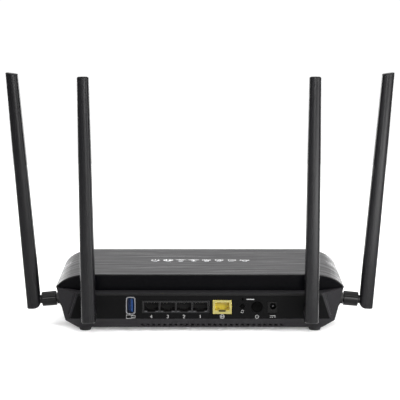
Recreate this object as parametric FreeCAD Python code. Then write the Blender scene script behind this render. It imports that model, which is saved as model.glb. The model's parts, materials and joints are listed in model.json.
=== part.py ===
"""Wireless router with four swivelling stick antennas, drawn in millimetres.

+Z is up, +X is to the right when facing the connector side, +Y runs from the
connector side to the plain front.  The origin lies on the table, midway
between the outermost points of the router in X and in Y.
"""

import FreeCAD
import Part

import math
import os

V = FreeCAD.Vector
X_AXIS = V(1, 0, 0)
Y_AXIS = V(0, 1, 0)
Z_AXIS = V(0, 0, 1)

# ---------------------------------------------------------------- driving sizes
REAR = -63.0  # plane of the connector panel
DEPTH = 156.0
FRONT = REAR + DEPTH
HALF_WIDTH = 123.7  # tips of the top cover
COVER_TOP = 48.0
COVER_REAR = REAR + 15.5
COVER_WALL = 2.0
COVER_LIP = 0.8  # thin rim left over the dark end bands
SHOULDER_X = 96.0  # where the flat top starts to fall away
SHOULDER_RUN = 30.0  # half axes of the ellipse that the shoulders follow
SHOULDER_DROP = 18.0
CORNER_R = 5.0

FLOOR_Z = 3.2  # underside of the housing, and height of the feet
LEDGE_Z = 34.0
SEAM_Z = 36.8  # top of the lower housing at the tips
SIDE_BREAK_X = 114.8  # where the side wall turns in towards the floor
SIDE_BREAK_Z = 10.8
FLOOR_HALF = 104.5
SIDE_TOP_X = 123.4
FLAT_TOP_X = 103.2  # ends of the connector panel, top and bottom
FLAT_LOW_X = 110.2
PANEL_LOW_Z = 12.2
WALL = 2.2
REAR_WALL = 3.6
PANEL_T = 2.0
LEDGE_T = 1.8
BEVEL_RUN = 9.0  # how far the lower rear bevel runs forward

BOARD_Z = 13.4
BOARD_T = 1.6
BOARD_TOP = BOARD_Z + BOARD_T
BOARD_HALF = 99.0
BOARD_REAR = REAR + 3.8
BOARD_FRONT = REAR + 118.0

JACK_Z = 20.6  # height of the rear antenna axes
REAR_JACK_X = 93.5
SIDE_JACK_Y = REAR + 45.0
SIDE_PIVOT_X = 145.1
SIDE_PIVOT_Z = 20.4
REAR_LEFT_LEAN = 0.95
REAR_RIGHT_LEAN = 0.5
SIDE_LEAN = 4.9
WALL_TO_PIVOT = 23.2
REAR_GRIP = 2.0  # thickness that a jack clamps, in the panel and in a side wall
SIDE_GRIP = 6.5

PORT_DEPTH = 14.0
PORT_PITCH = 13.85
LAN_X = -20.6
WAN_X = 18.9
USB_X = -58.9
USB_Z = 23.6
POWER_X = 48.5
POWER_Z = 22.3
WPS_X = 36.0
WPS_Z = 22.9
RESET_X = 36.3
RESET_Z = 28.9
INLET_X = 62.0
INLET_Z = 23.0
INLET_NOSE = (-4.2, 3.3, 17.2, 26.9)  # the part of the inlet that shows in the panel
LAN_NOSE_Z = (17.3, 27.5)
WAN_NOSE_Z = (16.4, 28.1)
LAN_HALF = 28.4
WAN_HALF = 7.9
VENT_Z = (4.9, 6.5)
VENT_HALF = 1.2

FOOT_X = 98.4
FOOT_REAR_Y = REAR + 15.0
FOOT_FRONT_Y = FRONT - 17.0
POST_X = 88.0
POST_YS = (REAR + 30.0, FRONT - 26.0)
BOARD_SCREWS = [(x, y) for x in (-70.0, 70.0) for y in (REAR + 26.0, REAR + 112.0)]
STATUS_Y = REAR + 84.0
STATUS_PITCH = 11.4
STATUS_COUNT = 8

# antenna, measured from the hinge pin
PADDLE_TIP = 199.7
PADDLE_TIP_FALL = 2.4
PADDLE_FOOT = 7.1
PADDLE_HEEL = 6.2  # rounds the foot so that it turns clear of the sleeve
PADDLE_THICK = (12.7, 10.7)  # across the hinge, at the foot and at the tip
PADDLE_WIDE = (12.4, 10.1)  # along the hinge, at the foot and at the tip
CROWN = 0.94  # radius of each bulging side, as a share of the width it spans
EDGE_ROUND = 0.19  # radius of each long edge, as a share of the width
FOOT_BEVEL = 0.7
TAPER_FROM = 40.0
FORK_SLOT = 7.5
FORK_REACH = 4.9
HEAD_R = 4.5
NECK_R = 3.65
SLEEVE_R = 6.3
SLEEVE_FROM = 7.4
SLEEVE_TO = 20.3
NOSE_R = 3.2
RUNNING = 0.08
PIN_R = 1.25
PIN_HALF = 5.0
GRIP_GROOVES = 12
JACK_HOLE_R = NOSE_R + 0.05


# ---------------------------------------------------------------- small helpers
def box(x0, x1, y0, y1, z0, z1):
    """A block between two corners."""
    return Part.makeBox(x1 - x0, y1 - y0, z1 - z0, V(x0, y0, z0))


def rod(x, y, z, direction, radius, length):
    """A cylinder that starts at a point and runs along a direction."""
    return Part.makeCylinder(radius, length, V(x, y, z), direction)


def prism(points, start, along):
    """A closed outline of points, moved to a start and pushed along a vector."""
    wire = Part.makePolygon(points + points[:1])
    solid = Part.Face(wire).extrude(along)
    solid.translate(start)
    return solid


def across_y(outline, y0, y1):
    """An outline of (x, z) pairs, solid between two values of y."""
    return prism([V(x, 0, z) for x, z in outline], V(0, y0, 0), V(0, y1 - y0, 0))


def across_x(outline, x0, x1):
    """An outline of (y, z) pairs, solid between two values of x."""
    return prism([V(0, y, z) for y, z in outline], V(x0, 0, 0), V(x1 - x0, 0, 0))


def beyond(points, shift=0.0, size=420.0):
    """Everything on the outer side of the plane through three points."""
    a, b, c = points
    normal = (b - a).cross(c - a)
    normal.normalize()
    block = Part.makeBox(size, size, size, V(-size / 2, -size / 2, 0))
    block.Placement = FreeCAD.Placement(a + normal * shift, FreeCAD.Rotation(Z_AXIS, normal))
    return block


def mirrored(shape):
    """The same shape on the other side of the middle plane."""
    return shape.mirror(V(0, 0, 0), X_AXIS)


def both_sides(shape):
    """A shape and its mirror image."""
    return [shape, mirrored(shape)]


def ring_row(count, pitch, middle):
    """Evenly spaced places about a middle."""
    return [middle + pitch * (i - (count - 1) / 2) for i in range(count)]


def tube(points, radius, bend):
    """A round lead along straight runs that are joined by tangent arcs."""
    edges = []
    start = points[0]
    for i in range(1, len(points) - 1):
        back = (points[i - 1] - points[i]).normalize()
        ahead = (points[i + 1] - points[i]).normalize()
        half = back.getAngle(ahead) / 2
        reach = bend / math.tan(half)
        first = points[i] + back * reach
        last = points[i] + ahead * reach
        middle_way = (back + ahead).normalize()
        centre = points[i] + middle_way * (bend / math.sin(half))
        edges.append(Part.LineSegment(start, first).toShape())
        edges.append(Part.Arc(first, centre - middle_way * bend, last).toShape())
        start = last
    edges.append(Part.LineSegment(start, points[-1]).toShape())
    section = Part.Wire(Part.makeCircle(radius, points[0], points[1] - points[0]))
    return Part.Wire(edges).makePipeShell([section], True, False)


# ---------------------------------------------------------------- the body's outlines
def arch(inset, low, y0, y1):
    """The space under the cover's curved top, offset inwards by an inset."""
    run = SHOULDER_RUN - inset
    drop = SHOULDER_DROP - inset
    centre_z = COVER_TOP - SHOULDER_DROP
    tip = HALF_WIDTH - inset
    begin = math.acos((tip - SHOULDER_X) / run)
    tip_z = centre_z + drop * math.sin(begin)
    top = COVER_TOP - inset
    right = Part.Ellipse(V(SHOULDER_X, centre_z, 0), run, drop)
    left = Part.Ellipse(V(-SHOULDER_X, centre_z, 0), run, drop)
    edges = [
        Part.ArcOfEllipse(right, begin, math.pi / 2).toShape(),
        Part.LineSegment(V(SHOULDER_X, top, 0), V(-SHOULDER_X, top, 0)).toShape(),
        Part.ArcOfEllipse(left, math.pi / 2, math.pi - begin).toShape(),
        Part.LineSegment(V(-tip, tip_z, 0), V(-tip, low, 0)).toShape(),
        Part.LineSegment(V(-tip, low, 0), V(tip, low, 0)).toShape(),
        Part.LineSegment(V(tip, low, 0), V(tip, tip_z, 0)).toShape(),
    ]
    face = Part.Face(Part.Wire(edges))
    face.rotate(V(0, 0, 0), X_AXIS, 90)
    solid = face.extrude(V(0, y1 - y0, 0))
    solid.translate(V(0, y0, 0))
    return solid


def plan(inset):
    """The body seen from above, with its round front corners, at full height."""
    half = HALF_WIDTH - inset
    front = FRONT - inset
    block = box(-half, half, REAR - 1, front, 0, COVER_TOP + 1)
    corners = [
        edge
        for edge in block.Edges
        if abs(edge.tangentAt(edge.FirstParameter).z) > 0.9
        and edge.CenterOfMass.y > front - 1
    ]
    return block.makeFillet(CORNER_R, corners)


def lower_outline(inset):
    """Half of the lower housing seen from behind, then the other half."""
    half = [
        (FLOOR_HALF - inset * 0.7, FLOOR_Z + inset),
        (SIDE_BREAK_X - inset * 1.05, SIDE_BREAK_Z + inset * 0.6),
        (SIDE_TOP_X - inset * 1.05, SEAM_Z),
        (FLAT_TOP_X, LEDGE_Z),
    ]
    return half + [(-x, z) for x, z in reversed(half)]


def cheek_planes():
    """The narrow strip beside the panel, and the slanted cheek of each corner."""
    strip_low = V(FLAT_LOW_X + 1.4, REAR + 0.7, 14)
    strip_top = V(FLAT_TOP_X + 3.2, REAR + 0.9, LEDGE_Z)
    tip = V(SIDE_TOP_X, REAR + 16.5, SEAM_Z)
    strip = [V(FLAT_TOP_X, REAR, LEDGE_Z), V(FLAT_LOW_X, REAR, 13.5), strip_top]
    cheek = [strip_top, strip_low, tip]
    return [strip, cheek]


def rear_bevel():
    """The plane that leads from the panel's foot forward and down to the floor."""
    return [
        V(0, REAR, PANEL_LOW_Z),
        V(-10, REAR, PANEL_LOW_Z),
        V(0, REAR + BEVEL_RUN, FLOOR_Z),
    ]


def front_slope():
    """The plane of the plain front, which leans in towards the floor."""
    return [V(0, FRONT - 1, SEAM_Z), V(10, FRONT - 1, SEAM_Z), V(0, FRONT - 9, FLOOR_Z)]


def facing(points, outward):
    """Three points ordered so that their plane's normal looks outward."""
    a, b, c = points
    normal = (b - a).cross(c - a)
    if normal.dot(outward) > 0:
        return points
    return [a, c, b]


def cheek_groove():
    """The narrow channel between the strip beside the panel and the slanted cheek."""
    wall = 0.6
    levels = [
        (LEDGE_Z + 4, FLAT_TOP_X + 0.4, 2.0),
        (15.5, FLAT_LOW_X + 0.5, 1.2),
    ]
    wires = []
    for z, x, wide in levels:
        corners = [
            V(x, REAR - 1, z),
            V(x + wall, REAR + 2.0, z),
            V(x + wall + wide, REAR + 2.4, z),
            V(x + 3 + wide, REAR - 1, z),
        ]
        wires.append(Part.makePolygon(corners + corners[:1]))
    return Part.makeLoft(wires, True, True)


def lower_block(inset, y0, y1):
    """The lower housing's outer form, or the same form drawn inwards."""
    block = across_y(lower_outline(inset), y0, y1)
    for plane in cheek_planes():
        cut = beyond(facing(plane, V(1, -1, 0)), -inset)
        for side in both_sides(cut):
            block = block.cut(side)
    block = block.cut(beyond(facing(rear_bevel(), V(0, -1, -1)), -inset))
    block = block.cut(beyond(facing(front_slope(), V(0, 1, -0.2)), -inset))
    return block.common(plan(inset + 0.2))


# ---------------------------------------------------------------- antenna places
def antenna_places():
    """Each antenna's name and the placement that carries it from its own frame."""
    rear_y = REAR - WALL_TO_PIVOT
    spots = {
        "rear_left": (V(-REAR_JACK_X, rear_y, JACK_Z), 0, -REAR_LEFT_LEAN),
        "rear_right": (V(REAR_JACK_X, rear_y, JACK_Z), 0, REAR_RIGHT_LEAN),
        "side_left": (V(-SIDE_PIVOT_X, SIDE_JACK_Y, SIDE_PIVOT_Z), -90, -SIDE_LEAN),
        "side_right": (V(SIDE_PIVOT_X, SIDE_JACK_Y, SIDE_PIVOT_Z), 90, SIDE_LEAN),
    }
    places = {}
    for name, (pivot, turn, lean) in spots.items():
        yaw = FreeCAD.Rotation(Z_AXIS, turn)
        tip = FreeCAD.Rotation(Y_AXIS, lean)
        places[name] = FreeCAD.Placement(pivot, tip.multiply(yaw))
    return places


def placed(shape, place):
    """A copy of a shape carried to a placement."""
    moved = shape.copy()
    moved.Placement = place.multiply(shape.Placement)
    return moved


# ---------------------------------------------------------------- shells of the body
def top_cover():
    outer = arch(0, 36.9, COVER_REAR, FRONT).common(plan(0))
    inner = arch(COVER_WALL, 30, COVER_REAR - 1, FRONT + 1)
    rear_rebate = arch(COVER_LIP, 30, COVER_REAR - 1, COVER_REAR + 3)
    front_rebate = arch(COVER_LIP, 30, FRONT - 3, FRONT + 1)
    cover = outer.cut(inner).cut(rear_rebate).cut(front_rebate)
    for x in ring_row(STATUS_COUNT, STATUS_PITCH, 0):
        cover = cover.cut(box(x - 2.2, x + 2.2, STATUS_Y - 0.7, STATUS_Y + 0.7, 40, 50))
    for x in (-POST_X, POST_X):
        for y in POST_YS:
            post = rod(x, y, 20, Z_AXIS, 4, COVER_TOP - COVER_WALL - 20 + 0.5)
            cover = cover.fuse(post).cut(rod(x, y, 19, Z_AXIS, 1.5, 14))
    return cover.removeSplitter()


def mid_frame():
    """The dark band: end walls under the cover's rims, joined by side strips."""
    rear_y = COVER_REAR + 0.4
    front_y = FRONT - 0.6
    band = arch(COVER_LIP, 33, rear_y, front_y).common(plan(0.6))
    inner_half = HALF_WIDTH - 4.7
    hollow = box(-inner_half, inner_half, rear_y + 1.8, front_y - 1.8, 30, 50)
    seam = [(HALF_WIDTH, SEAM_Z), (SIDE_TOP_X, SEAM_Z), (FLAT_TOP_X, LEDGE_Z)]
    outline = [(HALF_WIDTH, 0)] + seam + [(-x, z) for x, z in reversed(seam)] + [(-HALF_WIDTH, 0)]
    below = across_y(outline, REAR, FRONT)
    return band.cut(hollow).cut(below).cut(top_cover()).removeSplitter()


def housing_cavity():
    """The hollow of the lower housing: low behind the ledge, open further on."""
    half = HALF_WIDTH
    open_from = COVER_REAR + 2.4
    rim_half = SIDE_TOP_X - 4
    under_ledge = box(-half, half, REAR + REAR_WALL, open_from + 1, 0, LEDGE_Z - LEDGE_T)
    open_part = box(-half, half, open_from, FRONT, 0, COVER_TOP)
    mouth = box(-rim_half, rim_half, open_from, FRONT - 3.2, LEDGE_Z - 1, COVER_TOP)
    core = lower_block(WALL, REAR + REAR_WALL, FRONT)
    return core.common(under_ledge.fuse(open_part)).fuse(mouth)


def panel_outline(end_gap, low, top):
    """The connector panel's slanted-ended outline between two heights."""
    slope = (FLAT_LOW_X - FLAT_TOP_X) / (LEDGE_Z - 13.5)
    at_top = FLAT_TOP_X + slope * (LEDGE_Z - top) - end_gap
    at_low = FLAT_TOP_X + slope * (LEDGE_Z - low) - end_gap
    return [(at_top, top), (-at_top, top), (-at_low, low), (at_low, low)]


def bottom_housing():
    shell = lower_block(0, REAR, FRONT - 1).cut(housing_cavity())
    for groove in both_sides(cheek_groove()):
        shell = shell.cut(groove)
    pocket_top = LEDGE_Z - LEDGE_T
    shell = shell.cut(across_y(panel_outline(0, PANEL_LOW_Z, pocket_top), REAR - 1, REAR + PANEL_T))
    shell = shell.cut(across_y(panel_outline(5, PANEL_LOW_Z + 2, pocket_top), REAR, REAR + REAR_WALL + 1))
    for x in ring_row(26, 4.75, 10.2):
        shell = shell.cut(box(x - VENT_HALF, x + VENT_HALF, REAR, REAR + 13, *VENT_Z))
    for y in (REAR + 42, REAR + 74, REAR + 106):
        for x in ring_row(15, 8, 0):
            shell = shell.cut(box(x - 1.2, x + 1.2, y - 11, y + 11, 0, FLOOR_Z + WALL + 1))
    for name, place in antenna_places().items():
        if name.startswith("side"):
            shell = shell.fuse(placed(rod(0, WALL_TO_PIVOT, 0, Y_AXIS, 7, SIDE_GRIP), place))
            shell = shell.cut(placed(rod(0, WALL_TO_PIVOT - 1, 0, Y_AXIS, JACK_HOLE_R, 20), place))
            shell = shell.cut(placed(rod(0, WALL_TO_PIVOT + SIDE_GRIP, 0, Y_AXIS, 4.6, 9), place))
    for x, y in BOARD_SCREWS:
        boss = rod(x, y, FLOOR_Z + 1, Z_AXIS, 3.6, BOARD_Z - FLOOR_Z - 1)
        shell = shell.fuse(boss).cut(rod(x, y, FLOOR_Z + 2, Z_AXIS, 1.2, BOARD_Z))
    for x in (-POST_X, POST_X):
        for y in POST_YS:
            shell = shell.fuse(rod(x, y, FLOOR_Z + 1, Z_AXIS, 4.6, 20 - FLOOR_Z - 1))
            shell = shell.cut(rod(x, y, 0, Z_AXIS, 1.7, 22)).cut(rod(x, y, 0, Z_AXIS, 3.2, 8.6))
    return shell.removeSplitter()


def port_outline(x, low_z):
    """A modular socket's mouth: a wide slot with a latch notch below it."""
    return [
        (x - 3.1, low_z - 1.4),
        (x + 3.1, low_z - 1.4),
        (x + 3.1, low_z),
        (x + 6.15, low_z),
        (x + 6.15, low_z + 6.9),
        (x - 6.15, low_z + 6.9),
        (x - 6.15, low_z),
        (x - 3.1, low_z),
    ]


def rear_panel():
    outline = panel_outline(0.5, PANEL_LOW_Z + 0.1, LEDGE_Z - LEDGE_T - 0.1)
    panel = across_y(outline, REAR, REAR + PANEL_T)
    windows = [
        (LAN_X - LAN_HALF, LAN_X + LAN_HALF, *LAN_NOSE_Z, 0.1),
        (WAN_X - WAN_HALF, WAN_X + WAN_HALF, *WAN_NOSE_Z, 0.1),
        (INLET_X + INLET_NOSE[0], INLET_X + INLET_NOSE[1], *INLET_NOSE[2:], 0.3),
    ]
    for x0, x1, z0, z1, gap in windows:
        panel = panel.cut(box(x0 - gap, x1 + gap, REAR - 1, REAR + 3, z0 - gap, z1 + gap))
    panel = panel.cut(across_y(flare_outline(4.1, 7.5, 1.55), REAR - 1, REAR + 3))
    holes = [
        (POWER_X, POWER_Z, 4.85),
        (WPS_X, WPS_Z, 2.2),
        (RESET_X, RESET_Z, 0.95),
        (REAR_JACK_X, JACK_Z, JACK_HOLE_R),
        (-REAR_JACK_X, JACK_Z, JACK_HOLE_R),
    ]
    for x, z, r in holes:
        panel = panel.cut(rod(x, REAR - 1, z, Y_AXIS, r, 4))
    return panel


# ---------------------------------------------------------------- boards and inner parts
def main_board():
    board = box(-BOARD_HALF, BOARD_HALF, BOARD_REAR, BOARD_FRONT, BOARD_Z, BOARD_TOP)
    for x, y in BOARD_SCREWS:
        board = board.cut(rod(x, y, 0, Z_AXIS, 1.5, 30))
    for x in (-POST_X, POST_X):
        for y in POST_YS:
            board = board.cut(rod(x, y, 0, Z_AXIS, 5.2, 30))
    return board


def switch_board():
    """The small upright board that carries the pairing and reset switches."""
    return box(WPS_X - 5, WPS_X + 5, REAR + 12, REAR + 13.2, BOARD_TOP, 31.8)


def socket_block(x, half, nose_z, mouths):
    """A plastic socket housing on the board, with a nose in the panel and its mouths."""
    low, top = nose_z
    block = box(x - half, x + half, REAR + PANEL_T + 0.3, REAR + 21, BOARD_TOP, top)
    block = block.fuse(box(x - half, x + half, REAR + 0.1, REAR + PANEL_T + 1, low, top)).removeSplitter()
    for x, low_z in mouths:
        block = block.cut(across_y(port_outline(x, low_z), REAR - 1, REAR + PORT_DEPTH))
    return block


def lan_mouths():
    return [(x, 19.1) for x in ring_row(4, PORT_PITCH, LAN_X)]


def wan_mouths():
    return [(WAN_X, 19.3)]


def spring_contacts(mouths):
    """Eight sloping wires at the top of each mouth."""
    wires = []
    for x, low_z in mouths:
        top = low_z + 6.9
        for wire_x in ring_row(8, 1.02, x):
            outline = [
                (REAR + 3.0, top),
                (REAR + 3.6, top),
                (REAR + 10.5, top - 1.7),
                (REAR + PORT_DEPTH, top - 1.7),
                (REAR + PORT_DEPTH, top - 2.1),
                (REAR + 10.3, top - 2.1),
            ]
            wires.append(across_x(outline, wire_x - 0.18, wire_x + 0.18))
    return Part.makeCompound(wires)


def flare_outline(half_x, half_z, chamfer):
    """A rectangle with cut corners about the upright socket's centre."""
    return [
        (USB_X - half_x + chamfer, USB_Z - half_z),
        (USB_X + half_x - chamfer, USB_Z - half_z),
        (USB_X + half_x, USB_Z - half_z + chamfer),
        (USB_X + half_x, USB_Z + half_z - chamfer),
        (USB_X + half_x - chamfer, USB_Z + half_z),
        (USB_X - half_x + chamfer, USB_Z + half_z),
        (USB_X - half_x, USB_Z + half_z - chamfer),
        (USB_X - half_x, USB_Z - half_z + chamfer),
    ]


def loft_y(outline_a, y_a, outline_b, y_b):
    """A solid between two like outlines at two values of y."""
    wires = []
    for outline, y in ((outline_a, y_a), (outline_b, y_b)):
        points = [V(x, y, z) for x, z in outline]
        wires.append(Part.makePolygon(points + points[:1]))
    return Part.makeLoft(wires, True, True)


def usb_shell():
    mouth = loft_y(flare_outline(3.9, 7.3, 1.45), REAR - 0.5, flare_outline(2.95, 6.65, 0.5), REAR + 1.4)
    inner_mouth = loft_y(flare_outline(3.5, 6.9, 1.3), REAR - 0.5, flare_outline(2.56, 6.25, 0.3), REAR + 1.4)
    body = across_y(flare_outline(2.95, 6.65, 0.5), REAR + 1.4, REAR + 17)
    core = across_y(flare_outline(2.56, 6.25, 0.3), REAR + 1.4, REAR + 16.6)
    legs = box(USB_X - 2.9, USB_X + 2.9, REAR + 9, REAR + 12, BOARD_TOP, USB_Z - 6.6)
    return mouth.cut(inner_mouth).fuse(body.cut(core)).fuse(legs).removeSplitter()


def usb_insert():
    """The coloured insulator: a block at the back with the contact tongue."""
    back = across_y(flare_outline(2.5, 6.2, 0.3), REAR + 10.5, REAR + 16.5)
    tongue = box(USB_X + 0.2, USB_X + 2.0, REAR + 1.2, REAR + 11, USB_Z - 5.5, USB_Z + 5.5)
    return back.fuse(tongue).removeSplitter()


def usb_contacts():
    strips = []
    for z in ring_row(4, 2.3, USB_Z):
        strips.append(box(USB_X - 0.05, USB_X + 0.2, REAR + 2, REAR + 10.5, z - 0.5, z + 0.5))
    return Part.makeCompound(strips)


def dc_inlet():
    body = box(INLET_X - 5, INLET_X + 4.4, REAR + 2.2, REAR + 14, BOARD_TOP, 28)
    x0, x1, z0, z1 = INLET_NOSE
    nose = box(INLET_X + x0, INLET_X + x1, REAR + 0.2, REAR + 3, z0, z1)
    return body.fuse(nose).cut(rod(INLET_X, REAR - 1, INLET_Z, Y_AXIS, 2.85, 11)).removeSplitter()


def dc_pin():
    pin = rod(INLET_X, REAR + 1.0, INLET_Z, Y_AXIS, 1.0, 9)
    dome = Part.makeSphere(1.0, V(INLET_X, REAR + 1.0, INLET_Z))
    return pin.fuse(dome).removeSplitter()


def button(x, z, cap_r, face, flange_r, stem_r, stem_end):
    """A push button: a domed cap, the flange behind the panel and a stem."""
    cap = rod(x, REAR - face, z, Y_AXIS, cap_r, face + 2.3)
    rim = [edge for edge in cap.Edges if edge.CenterOfMass.y < REAR and edge.Closed]
    cap = cap.makeFillet(min(0.5, cap_r / 5), rim)
    dish_r = cap_r * 5
    dish = Part.makeSphere(dish_r, V(x, REAR - face - dish_r + cap_r * 0.06, z))
    flange = rod(x, REAR + 2.2, z, Y_AXIS, flange_r, 0.9)
    stem = rod(x, REAR + 2.2, z, Y_AXIS, stem_r, stem_end - 2.2)
    return cap.cut(dish).fuse(flange).fuse(stem).removeSplitter()


def power_button():
    return button(POWER_X, POWER_Z, 4.6, 0.9, 5.5, 1.5, 10.5)


def power_switch():
    body = box(POWER_X - 4, POWER_X + 4, REAR + 9, REAR + 19, BOARD_TOP, POWER_Z + 4)
    return body.cut(rod(POWER_X, REAR + 8, POWER_Z, Y_AXIS, 1.7, 6))


def wps_button():
    return button(WPS_X, WPS_Z, 2.0, 0.5, 3.0, 1.2, 9.4)


def tact_switch(x, z, front):
    """The plain body of a small square switch on the upright board."""
    return box(x - 3, x + 3, REAR + front, REAR + 12, z - 2.8, z + 2.8)


def wps_switch():
    """The pairing button's switch, bored for the button's stem."""
    body = tact_switch(WPS_X, WPS_Z, 8.5)
    return body.cut(rod(WPS_X, REAR + 8, WPS_Z, Y_AXIS, 1.4, 2.2))


def reset_switch():
    """The reset switch, bored for its plunger."""
    body = tact_switch(RESET_X, RESET_Z, 6.5)
    return body.cut(rod(RESET_X, REAR + 6, RESET_Z, Y_AXIS, 1.2, 2.4))


def reset_plunger():
    return rod(RESET_X, REAR + 5, RESET_Z, Y_AXIS, 1.1, 2.6)


def shield_cans():
    """Two stamped lids over the radio circuits."""
    cans = []
    for x in (-66, 66):
        outer = box(x - 22, x + 22, REAR + 76, REAR + 108, BOARD_TOP, BOARD_TOP + 3.4)
        inner = box(x - 21.6, x + 21.6, REAR + 76.4, REAR + 107.6, BOARD_TOP - 1, BOARD_TOP + 3)
        cans.append(outer.cut(inner))
    return Part.makeCompound(cans)


def processor():
    return box(-11, 11, REAR + 44, REAR + 66, BOARD_TOP, BOARD_TOP + 2)


def heat_sink():
    """A finned block that stands on the processor."""
    base_z = BOARD_TOP + 2
    sink = box(-24, 24, REAR + 34, REAR + 76, base_z, base_z + 3)
    for x in ring_row(13, 3.8, 0):
        sink = sink.fuse(box(x - 0.6, x + 0.6, REAR + 34, REAR + 76, base_z + 3, base_z + 15))
    return sink.removeSplitter()


def line_transformers():
    """The magnetics between the sockets and the switch chip."""
    blocks = []
    for x in (-34.5, -6.7, 21.0):
        blocks.append(box(x - 8, x + 8, REAR + 23, REAR + 31, BOARD_TOP, BOARD_TOP + 6))
    return Part.makeCompound(blocks)


def capacitors():
    cans = []
    for x in ring_row(3, 10, 47):
        cans.append(rod(x, REAR + 26, BOARD_TOP, Z_AXIS, 4, 11))
    return Part.makeCompound(cans)


def status_leds():
    chips = []
    for x in ring_row(STATUS_COUNT, STATUS_PITCH, 0):
        chips.append(box(x - 0.8, x + 0.8, STATUS_Y - 0.5, STATUS_Y + 0.5, BOARD_TOP, BOARD_TOP + 0.8))
    return Part.makeCompound(chips)


def light_guide():
    """One clear moulding: a rail with a pipe up to each window of the cover."""
    half = STATUS_PITCH * (STATUS_COUNT - 1) / 2 + 3
    guide = box(-half, half, STATUS_Y - 1.5, STATUS_Y + 1.5, 36, 39)
    for x in ring_row(STATUS_COUNT, STATUS_PITCH, 0):
        guide = guide.fuse(box(x - 2.1, x + 2.1, STATUS_Y - 0.6, STATUS_Y + 0.6, 38, COVER_TOP + 0.05))
        guide = guide.fuse(box(x - 1.2, x + 1.2, STATUS_Y - 0.6, STATUS_Y + 0.6, BOARD_TOP + 1.1, 37))
    return guide.removeSplitter()


# ---------------------------------------------------------------- feet and fasteners
def rubber_feet():
    feet = []
    for x in (-FOOT_X, FOOT_X):
        for y in (FOOT_REAR_Y, FOOT_FRONT_Y):
            feet.append(Part.makeCone(4.6, 6.0, FLOOR_Z, V(x, y, 0), Z_AXIS))
    return Part.makeCompound(feet)


def pan_screw(x, y, head_z, direction, head_r, head_h, shank_r, shank_len):
    """A screw whose head sits at head_z, with a cross recess in it."""
    head = rod(x, y, head_z, direction * -1, head_r, head_h)
    shank = rod(x, y, head_z, direction, shank_r, shank_len)
    screw = head.fuse(shank)
    tip_z = head_z - direction.z * head_h
    for a, b in ((head_r * 0.6, 0.35), (0.35, head_r * 0.6)):
        screw = screw.cut(box(x - a, x + a, y - b, y + b, tip_z - 0.9, tip_z + 0.9))
    return screw.removeSplitter()


def case_screws():
    screws = []
    for x in (-POST_X, POST_X):
        for y in POST_YS:
            screws.append(pan_screw(x, y, 8.6, Z_AXIS, 2.9, 2.4, 1.48, 22))
    return Part.makeCompound(screws)


def board_screws():
    screws = []
    for x, y in BOARD_SCREWS:
        screws.append(pan_screw(x, y, BOARD_TOP, Z_AXIS * -1, 2.6, 1.8, 1.15, 8))
    return Part.makeCompound(screws)


# ---------------------------------------------------------------- antennas, in their own frame
# The hinge pin lies on the local X axis at the origin, the wall is at +Y and
# the paddle stands up along +Z.
def crowned_section(wide, thick, z):
    """A section of the paddle: four bulging sides joined by round corners."""
    across = CROWN * wide
    along = CROWN * thick
    edge_r = EDGE_ROUND * wide
    a = V(wide / 2 - across, 0, z)
    b = V(0, thick / 2 - along, z)
    apart = (b - a).Length
    toward = (b - a).normalize()
    square = V(-toward.y, toward.x, 0)
    reach = ((across - edge_r) ** 2 - (along - edge_r) ** 2 + apart**2) / (2 * apart)
    rise = math.sqrt((across - edge_r) ** 2 - reach**2)
    corner = a + toward * reach + square * rise
    on_side = corner + (corner - a).normalize() * edge_r
    on_face = corner + (corner - b).normalize() * edge_r
    between = corner + V(corner.x - a.x, corner.y - b.y, 0).normalize() * edge_r

    def flip(point, sx, sy):
        return V(point.x * sx, point.y * sy, point.z)

    def arc(p, q, r):
        return Part.Arc(p, q, r).toShape()

    edges = [
        arc(flip(on_side, 1, -1), V(wide / 2, 0, z), on_side),
        arc(on_side, between, on_face),
        arc(on_face, V(0, thick / 2, z), flip(on_face, -1, 1)),
        arc(flip(on_face, -1, 1), flip(between, -1, 1), flip(on_side, -1, 1)),
        arc(flip(on_side, -1, 1), V(-wide / 2, 0, z), flip(on_side, -1, -1)),
        arc(flip(on_side, -1, -1), flip(between, -1, -1), flip(on_face, -1, -1)),
        arc(flip(on_face, -1, -1), V(0, -thick / 2, z), flip(on_face, 1, -1)),
        arc(flip(on_face, 1, -1), flip(between, 1, -1), flip(on_side, 1, -1)),
    ]
    return Part.Wire(edges)


def paddle_profile():
    """The paddle seen along its hinge: a round heel by the neck."""
    half = PADDLE_THICK[0] / 2
    heel = PADDLE_HEEL
    blank = Part.makeBox(20, 2 * half, 300, V(-10, -half, -PADDLE_FOOT))
    corner = Part.makeBox(20, heel + 1, heel + 1, V(-10, half - heel, -PADDLE_FOOT - 1))
    round_part = Part.makeCylinder(heel, 20, V(-10, half - heel, heel - PADDLE_FOOT), X_AXIS)
    return blank.cut(corner.cut(round_part))


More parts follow.
